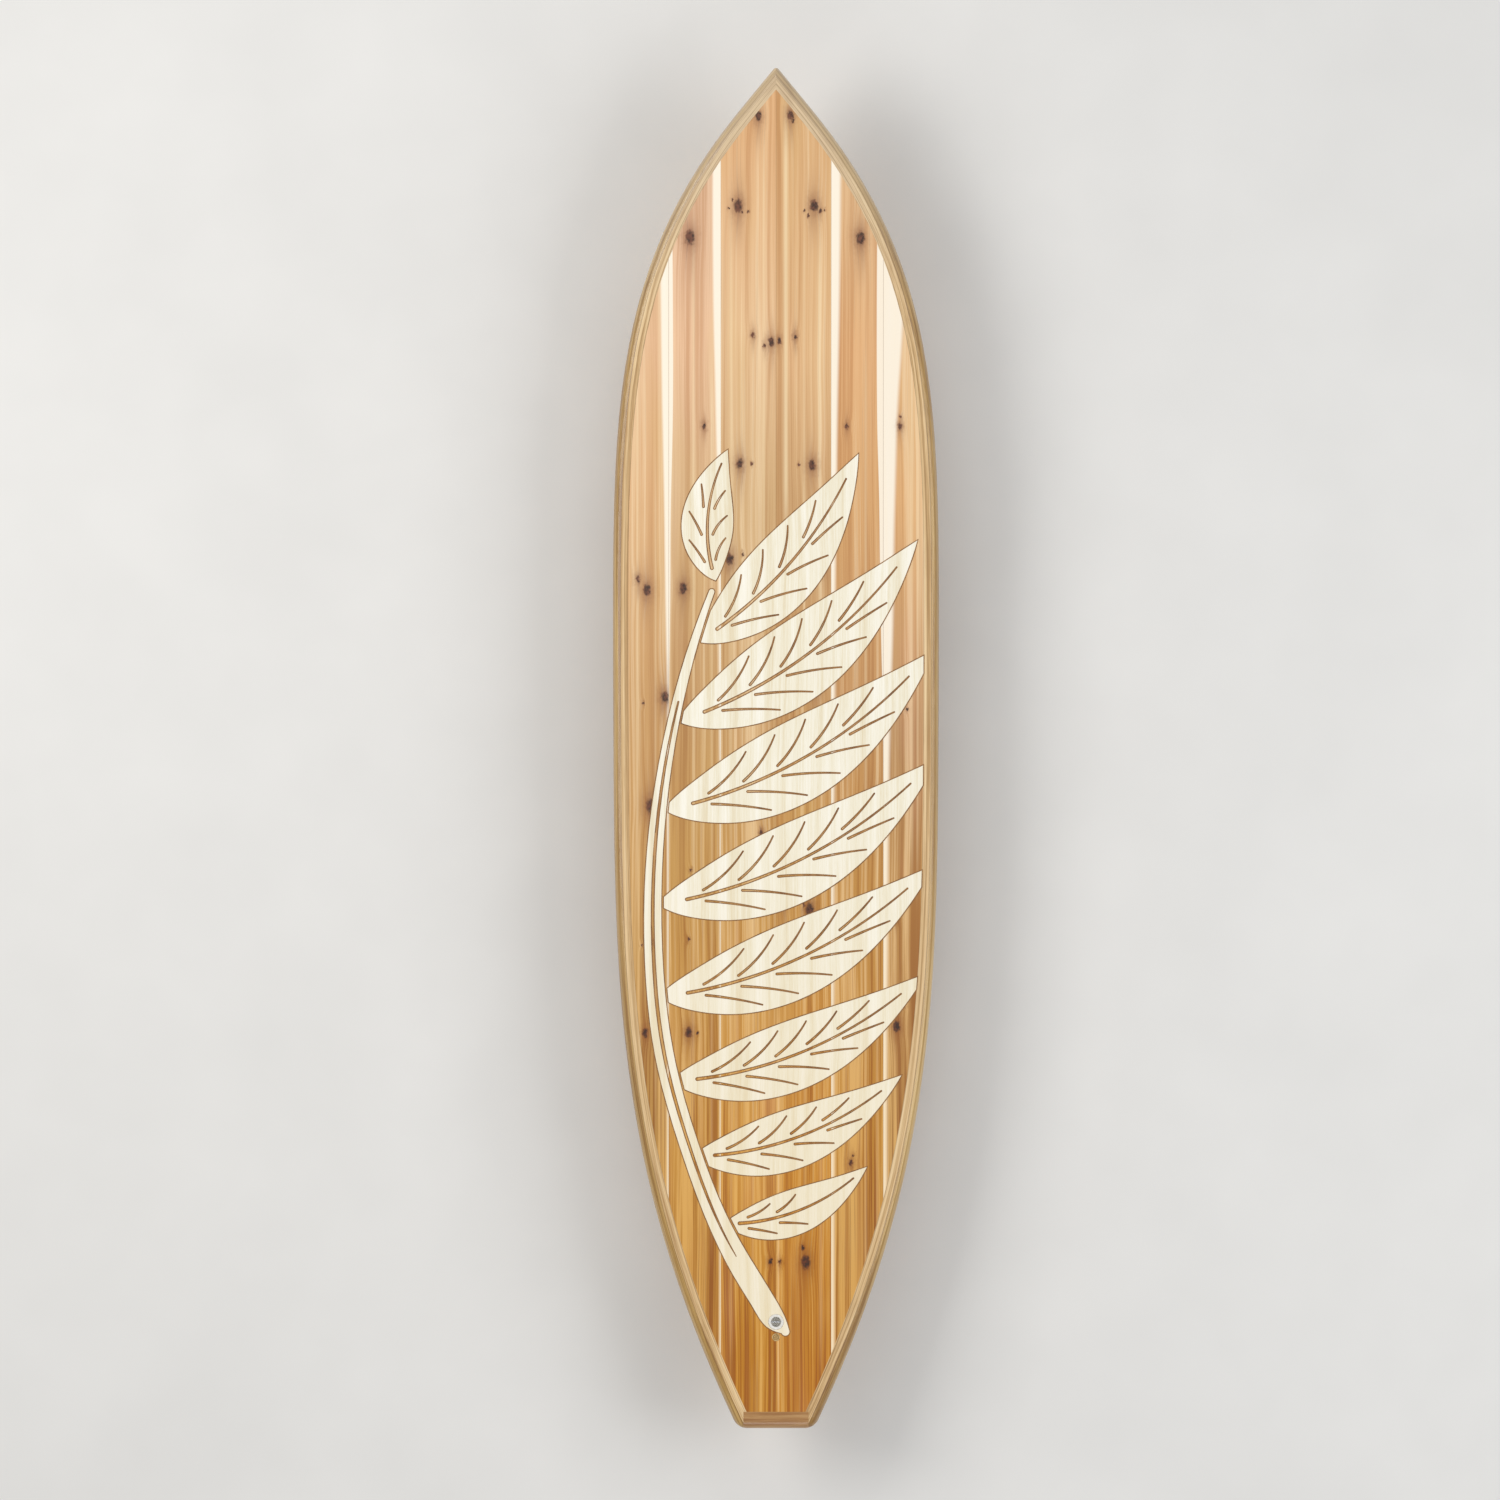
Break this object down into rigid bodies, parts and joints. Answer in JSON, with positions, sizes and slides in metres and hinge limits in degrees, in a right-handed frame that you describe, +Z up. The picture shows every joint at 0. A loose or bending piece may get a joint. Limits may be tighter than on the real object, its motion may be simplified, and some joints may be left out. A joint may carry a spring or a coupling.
{
  "type": "stand up paddleboard",
  "caption": "Hollow wooden stand up paddleboard with bookmatched cedar deck, laminated rails, pale leaf inlay, leash cup, vent screw and sliding fin",
  "frame": {"origin": "centreline, half way along the board, on the flat lowest part of the bottom planks", "axes": "+X starboard, +Y from tail to nose, +Z up out of the deck"},
  "size_m": [0.8124, 3.3803, 0.3613],
  "materials": {
    "deck_cedar": "gloss",
    "bottom_cedar": "gloss",
    "rail_outer_wood": "gloss",
    "rail_inner_wood": "gloss",
    "tail_block_wood": "gloss",
    "inlay_maple": "gloss",
    "plywood": "matte",
    "inner_wood": "matte",
    "cup_plastic": "gloss",
    "stainless": "satin",
    "vent_brass": "satin",
    "seal_rubber": "matte",
    "box_plastic": "satin",
    "fin_wood": "gloss",
    "nut_brass": "satin"
  },
  "bodies": {
    "board": {"bottom_plank_centre": "bottom_cedar", "bottom_plank_inner_L": "bottom_cedar", "bottom_plank_inner_R": "bottom_cedar", "bottom_plank_outer_L": "bottom_cedar", "bottom_plank_outer_R": "bottom_cedar", "deck_plank_centre_L": "deck_cedar", "deck_plank_centre_R": "deck_cedar", "deck_plank_mid_L": "deck_cedar", "deck_plank_mid_R": "deck_cedar", "deck_plank_outer_L": "deck_cedar", "deck_plank_outer_R": "deck_cedar", "fin_block": "inner_wood", "fin_box": "box_plastic", "inlay_leaf_1": "inlay_maple", "inlay_leaf_2": "inlay_maple", "inlay_leaf_3": "inlay_maple", "inlay_leaf_4": "inlay_maple", "inlay_leaf_5": "inlay_maple", "inlay_leaf_6": "inlay_maple", "inlay_leaf_7": "inlay_maple", "inlay_leaf_8": "inlay_maple", "inlay_leaf_9": "inlay_maple", "inlay_stem": "inlay_maple", "inner_rail_L": "inner_wood", "inner_rail_R": "inner_wood", "leash_bar": "stainless", "leash_cup": "cup_plastic", "nose_block": "inner_wood", "plug_block": "inner_wood", "rail_inner_band_L": "rail_inner_wood", "rail_inner_band_R": "rail_inner_wood", "rail_outer_band_L": "rail_outer_wood", "rail_outer_band_R": "rail_outer_wood", "rib_01": "plywood", "rib_02": "plywood", "rib_03": "plywood", "rib_04": "plywood", "rib_05": "plywood", "rib_06": "plywood", "rib_07": "plywood", "rib_08": "plywood", "rib_09": "plywood", "rib_10": "plywood", "rib_11": "plywood", "rib_12": "plywood", "stringer": "plywood", "tail_block": "tail_block_wood", "transom_frame": "inner_wood", "vent_insert": "vent_brass"},
    "fin_unit": {"fin": "fin_wood", "fin_cross_pin": "stainless"},
    "fin_bolt": {"fin_screw": "stainless"},
    "fin_nut": {"fin_nut_plate": "nut_brass"},
    "vent_ring": {"vent_seal": "seal_rubber"},
    "vent_cap": {"vent_screw": "vent_brass"}
  },
  "joints": [
    {"name": "fin_slide", "type": "slide", "parent": "board", "child": "fin_unit", "axis": [0, 0.9976, -0.0694], "range_m": [-0.027, 0.03]},
    {"name": "fin_screw_turn", "type": "hinge", "parent": "fin_unit", "child": "fin_bolt", "pos_m": [0, -1.25815, 0.02321], "axis": [0, -0.0694, -0.9976], "range_deg": [0, 720]},
    {"name": "fin_nut_drop", "type": "slide", "parent": "fin_unit", "child": "fin_nut", "axis": [0, 0.0694, 0.9976], "range_m": [0, 0.0014]},
    {"name": "vent_lift", "type": "slide", "parent": "board", "child": "vent_ring", "axis": [0, 0.0345, 0.9994], "range_m": [0, 0.01]},
    {"name": "vent_turn", "type": "hinge", "parent": "vent_ring", "child": "vent_cap", "pos_m": [0, -1.463, 0.10734], "axis": [0, 0.0345, 0.9994], "range_deg": [0, 2880]}
  ],
  "couplings": [
    {"joint": "fin_screw_turn", "follows": "fin_nut_drop", "rad_per_m": 8976},
    {"joint": "vent_turn", "follows": "vent_lift", "rad_per_m": 5026.5}
  ]
}
